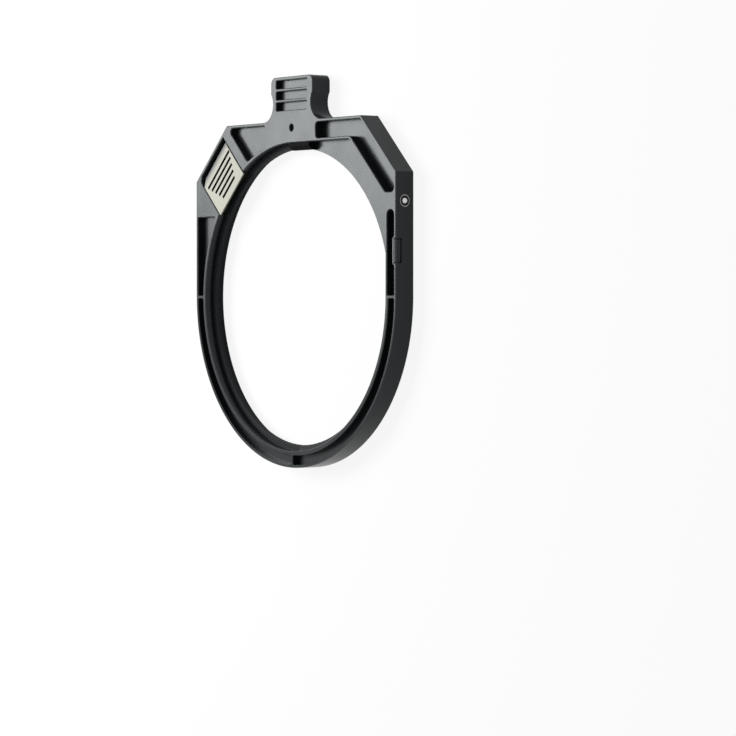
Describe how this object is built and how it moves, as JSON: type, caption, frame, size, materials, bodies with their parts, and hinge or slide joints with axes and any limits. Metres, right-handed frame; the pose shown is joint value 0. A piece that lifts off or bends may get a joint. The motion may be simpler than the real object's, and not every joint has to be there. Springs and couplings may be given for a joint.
{
  "type": "round filter tray for a matte box",
  "caption": "Flat tray for round lens filters: thin black frame with a round opening, finger tab, sliding spring latch, and ball detents in its side rails",
  "frame": {"origin": "on the optical axis, in the plane of the back face, at the middle of the rear filter thread", "axes": "+Z out of the front face, +Y towards the finger tab, +X to the right as seen from the front; the tray lies on its back"},
  "size_m": [0.1064, 0.1207, 0.0069],
  "materials": {
    "black_anodised": "black anodised, bead-blasted satin, with brighter machined edges",
    "champagne_anodised": "champagne anodised, satin",
    "black_screw": "black oxide steel",
    "spring_steel": "drawn spring wire",
    "black_plastic": "fine matte moulded plastic",
    "steel": "turned steel",
    "polished_ball": "polished bearing steel"
  },
  "bodies": {
    "tray": {"tray_frame": "black_anodised", "top_stop": "black_plastic", "side_key": "black_anodised", "right_plunger_body": "steel", "right_plunger_spring": "spring_steel", "left_plunger_body": "steel", "left_plunger_spring": "spring_steel", "latch_spring": "spring_steel"},
    "latch": {"filter_latch": "champagne_anodised", "upper_latch_screw": "black_screw", "lower_latch_screw": "black_screw"},
    "right_ball": {"right_plunger_ball": "polished_ball"},
    "left_ball": {"left_plunger_ball": "polished_ball"}
  },
  "joints": [
    {"name": "latch_slide", "type": "slide", "parent": "tray", "child": "latch", "axis": [-0.7071, 0.7071, 0], "range_m": [0, 0.0016], "stiffness_N_per_m": 600, "springref_m": -0.0015, "deforming": ["latch_spring"]},
    {"name": "right_ball_press", "type": "slide", "parent": "tray", "child": "right_ball", "axis": [-1, 0, 0], "range_m": [0, 0.0005], "stiffness_N_per_m": 500, "springref_m": -0.0005, "deforming": ["right_plunger_spring"]},
    {"name": "left_ball_press", "type": "slide", "parent": "tray", "child": "left_ball", "axis": [1, 0, 0], "range_m": [0, 0.0005], "stiffness_N_per_m": 500, "springref_m": -0.0005, "deforming": ["left_plunger_spring"]}
  ]
}
